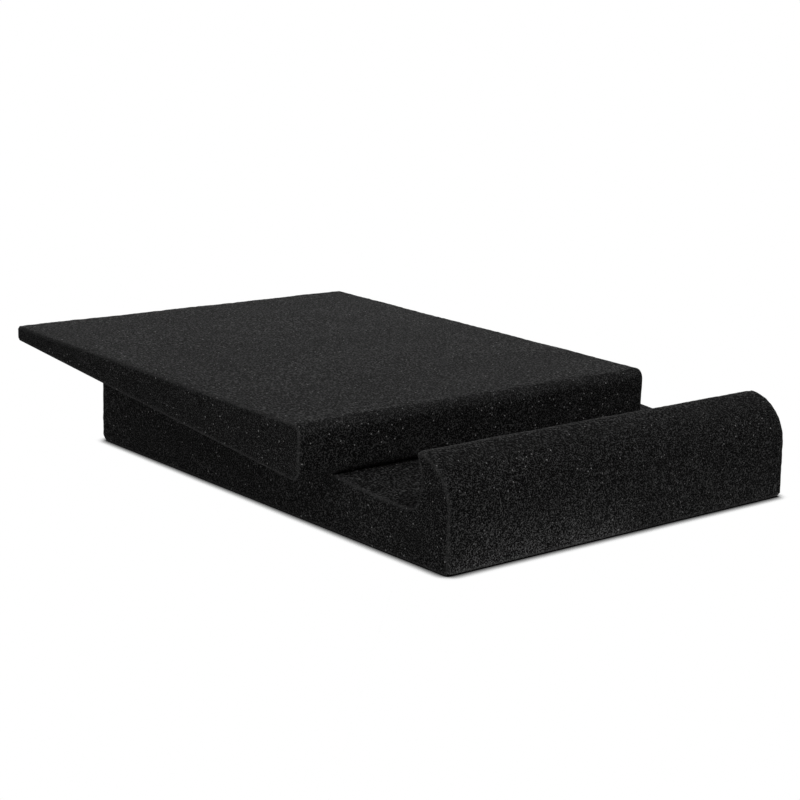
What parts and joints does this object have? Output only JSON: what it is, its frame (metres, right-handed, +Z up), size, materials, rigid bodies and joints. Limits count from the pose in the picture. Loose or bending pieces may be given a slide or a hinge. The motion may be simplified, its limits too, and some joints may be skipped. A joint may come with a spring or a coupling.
{
  "type": "speaker isolation pad",
  "caption": "Foam pad that sits under a desktop speaker to damp vibration: a sloped base block with a raised front lip, and a loose wedge on it that sets the tilt.",
  "frame": {"origin": "centre of the base block's underside, on the surface it stands on", "axes": "+Z up, -Y towards the front with the raised lip, +X to the right seen from the front"},
  "size_m": [0.2206, 0.3013, 0.0509],
  "materials": {
    "foam": "matt open-cell foam"
  },
  "bodies": {
    "root": {"base_pad": "foam", "wedge_pad": "foam"}
  },
  "joints": []
}
